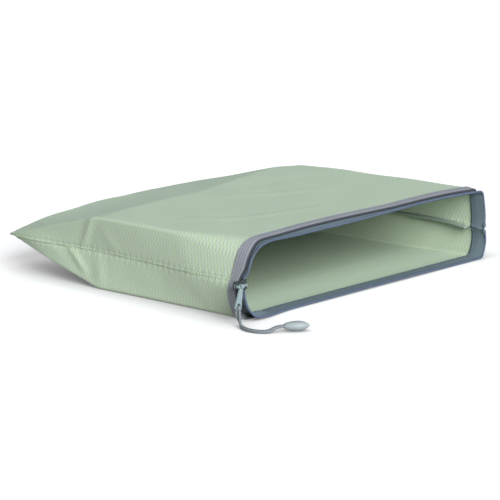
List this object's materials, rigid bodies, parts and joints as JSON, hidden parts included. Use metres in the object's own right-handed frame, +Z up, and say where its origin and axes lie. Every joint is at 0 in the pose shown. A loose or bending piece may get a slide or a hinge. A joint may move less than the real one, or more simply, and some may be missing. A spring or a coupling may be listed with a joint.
{
  "type": "zippered cash deposit bag",
  "caption": "Flat mesh pouch with a wide zipped mouth, standing open and filled out to a box shape, with a corded zip pull.",
  "frame": {"origin": "on the surface that the bag stands on, under the middle of the box round the bag, slider and tab", "axes": "+X along the mouth from the resting slider to the other end, +Y from the mouth to the back seam, +Z up"},
  "size_m": [0.351, 0.3837, 0.066],
  "materials": {
    "mesh_fabric": "pale green coated mesh, satin",
    "edge_ribbon": "warm grey woven twill ribbon",
    "zip_tape": "cool grey woven zip tape",
    "seam_ribbon": "grey green woven ribbon",
    "coil_nylon": "blue grey nylon coil",
    "stop_metal": "grey paint",
    "slider_metal": "grey green satin paint on die-cast zinc",
    "cord_braid": "grey braided cord",
    "grip_plastic": "silver grey moulded plastic, satin gloss"
  },
  "bodies": {
    "bag": {"upper_panel": "mesh_fabric", "lower_panel": "mesh_fabric", "upper_binding": "edge_ribbon", "lower_binding": "edge_ribbon", "upper_zip_tape": "zip_tape", "lower_zip_tape": "zip_tape", "upper_coil": "coil_nylon", "lower_coil": "coil_nylon", "bottom_stop": "stop_metal", "top_stops": "stop_metal", "left_seam_binding": "seam_ribbon", "right_seam_binding": "seam_ribbon", "back_seam_binding": "seam_ribbon"},
    "slider": {"slider_body": "slider_metal", "slider_crown": "slider_metal"},
    "tab": {"pull_tab": "slider_metal"},
    "cord": {"pull_cord": "cord_braid", "cord_grip": "grip_plastic"}
  },
  "joints": [
    {"name": "slider_travel", "type": "slide", "parent": "bag", "child": "slider", "axis": [1, 0, 0], "range_m": [0, 0.31], "deforming": ["upper_coil", "lower_coil", "upper_zip_tape", "lower_zip_tape"]},
    {"name": "tab_swing", "type": "hinge", "parent": "slider", "child": "tab", "pos_m": [-0.16318, -0.1628, 0.033], "axis": [-1, 0, 0], "range_deg": [-8, 110]},
    {"name": "cord_hang", "type": "hinge", "parent": "tab", "child": "cord", "pos_m": [-0.16825, -0.1628, 0.01407], "axis": [-1, 0, 0], "range_deg": [-112, 10]}
  ],
  "couplings": [
    {"joint": "cord_hang", "follows": "tab_swing", "ratio": -1}
  ]
}
